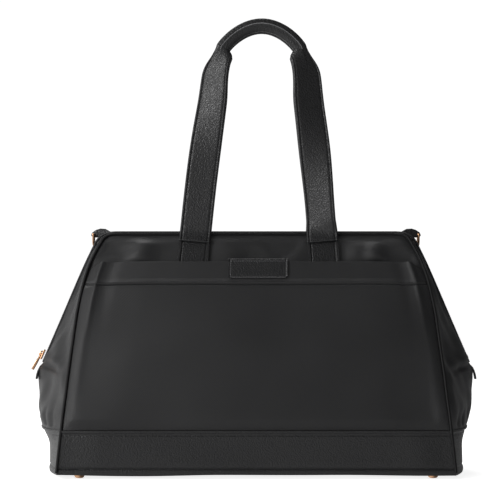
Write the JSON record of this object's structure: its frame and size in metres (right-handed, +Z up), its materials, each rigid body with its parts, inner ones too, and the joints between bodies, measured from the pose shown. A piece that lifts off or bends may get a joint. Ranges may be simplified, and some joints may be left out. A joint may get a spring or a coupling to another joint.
{
  "type": "weekender bag",
  "caption": "Framed-mouth weekender bag of satin nylon with leather base band, front slip pocket, strap handles, zipped mouth, metal feet and rings for a shoulder strap.",
  "frame": {"origin": "middle of the bag's footprint, on the surface that the feet stand on", "axes": "+X to the right and -Y towards the front pocket, as seen from the front; +Z up"},
  "size_m": [0.5097, 0.2132, 0.5198],
  "materials": {
    "nylon": "satin",
    "leather": "pebbled",
    "hardware": "polished",
    "frame_steel": "satin",
    "lining": "twill",
    "zip_tape": "matte",
    "zip_coil": "satin",
    "board": "matte"
  },
  "bodies": {
    "base": {"back_panel_lower": "nylon", "back_piping_left_lower": "leather", "back_piping_right_lower": "leather", "base_band_back": "leather", "base_band_front": "leather", "base_band_left": "leather", "base_band_right": "leather", "base_board": "board", "bottom_panel": "leather", "foot_back_left": "hardware", "foot_back_right": "hardware", "foot_front_left": "hardware", "foot_front_right": "hardware", "frame_rivet_left": "frame_steel", "frame_rivet_right": "frame_steel", "front_panel_lower": "nylon", "front_piping_left_lower": "leather", "front_piping_right_lower": "leather", "front_pocket_lower": "nylon", "inner_slip_pocket": "lining", "left_gusset_lower": "nylon", "lining_lower": "lining", "right_gusset_lower": "nylon", "zip_end_tab_left": "nylon", "zip_end_tab_right": "nylon"},
    "front_jaw": {"front_panel_upper": "nylon", "front_gusset_upper_left": "nylon", "front_gusset_upper_right": "nylon", "front_mouth_fold": "nylon", "front_piping_left_upper": "leather", "front_piping_right_upper": "leather", "front_handle_facing_left": "leather", "front_handle_facing_right": "leather", "zip_tape_front": "zip_tape", "zip_coil_front": "zip_coil", "frame_wire_front": "frame_steel", "lining_upper_front": "lining", "front_pocket_fold": "nylon", "front_pocket_upper": "nylon", "leather_patch": "leather"},
    "back_jaw": {"back_panel_upper": "nylon", "back_gusset_upper_left": "nylon", "back_gusset_upper_right": "nylon", "back_mouth_fold": "nylon", "back_piping_left_upper": "leather", "back_piping_right_upper": "leather", "back_handle_facing_left": "leather", "back_handle_facing_right": "leather", "zip_tape_back": "zip_tape", "zip_coil_back": "zip_coil", "frame_wire_back": "frame_steel", "lining_upper_back": "lining", "ring_loop_left": "leather", "ring_loop_right": "leather"},
    "front_handle": {"front_handle": "leather"},
    "back_handle": {"back_handle": "leather"},
    "zip_slider": {"zip_slider": "hardware"},
    "zip_pull": {"zip_pull": "hardware"},
    "left_ring": {"d_ring_left": "hardware"},
    "right_ring": {"d_ring_right": "hardware"}
  },
  "joints": [
    {"name": "front_jaw_open", "type": "hinge", "parent": "base", "child": "front_jaw", "pos_m": [0, 0, 0.123], "axis": [1, 0, 0], "range_deg": [0, 28], "deforming": ["front_mouth_fold", "front_pocket_fold"]},
    {"name": "back_jaw_open", "type": "hinge", "parent": "base", "child": "back_jaw", "pos_m": [0, 0, 0.123], "axis": [-1, 0, 0], "range_deg": [0, 28], "deforming": ["back_mouth_fold"]},
    {"name": "front_handle_swing", "type": "hinge", "parent": "front_jaw", "child": "front_handle", "pos_m": [0, -0.01531, 0.271], "axis": [1, 0, 0], "range_deg": [0, 130]},
    {"name": "back_handle_swing", "type": "hinge", "parent": "back_jaw", "child": "back_handle", "pos_m": [0, 0.01531, 0.271], "axis": [-1, 0, 0], "range_deg": [0, 130]},
    {"name": "zip_slide", "type": "slide", "parent": "back_jaw", "child": "zip_slider", "axis": [0.4017, 0, 0.9158], "range_m": [0, 0.122]},
    {"name": "zip_pull_swing", "type": "hinge", "parent": "zip_slider", "child": "zip_pull", "pos_m": [-0.2469, 0, 0.13555], "axis": [0, 1, 0], "range_deg": [0, 160]},
    {"name": "left_ring_swing", "type": "hinge", "parent": "back_jaw", "child": "left_ring", "pos_m": [-0.1874, 0.0135, 0.273], "axis": [0, 1, 0], "range_deg": [0, 115]},
    {"name": "right_ring_swing", "type": "hinge", "parent": "back_jaw", "child": "right_ring", "pos_m": [0.1874, 0.0135, 0.273], "axis": [0, -1, 0], "range_deg": [0, 115]}
  ]
}
